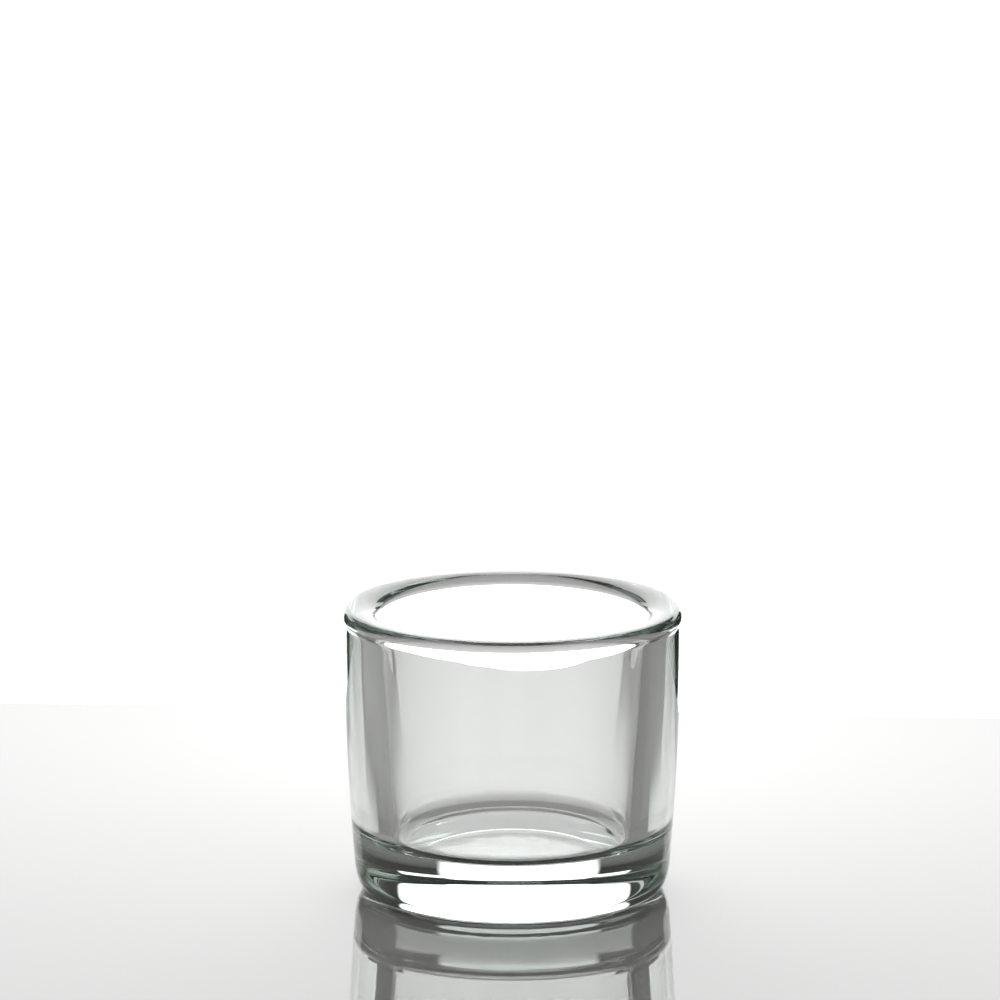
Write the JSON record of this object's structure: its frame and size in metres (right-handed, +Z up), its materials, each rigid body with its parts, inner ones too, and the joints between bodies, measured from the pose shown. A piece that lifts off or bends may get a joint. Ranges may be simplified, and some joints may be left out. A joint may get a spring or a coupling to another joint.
{
  "type": "tealight holder",
  "caption": "Short, thick-walled clear glass cup with a round rim, tapered cavity and heavy base, for a tealight.",
  "frame": {"origin": "centre of the foot ring, on the surface that the holder stands on", "axes": "+Z up through the middle of the cup; the holder is the same all the way round"},
  "size_m": [0.08, 0.08, 0.0681],
  "materials": {
    "clear_glass": "fire-polished clear soda-lime glass with a faint green tint where it is thick"
  },
  "bodies": {
    "root": {"glass_holder": "clear_glass"}
  },
  "joints": []
}
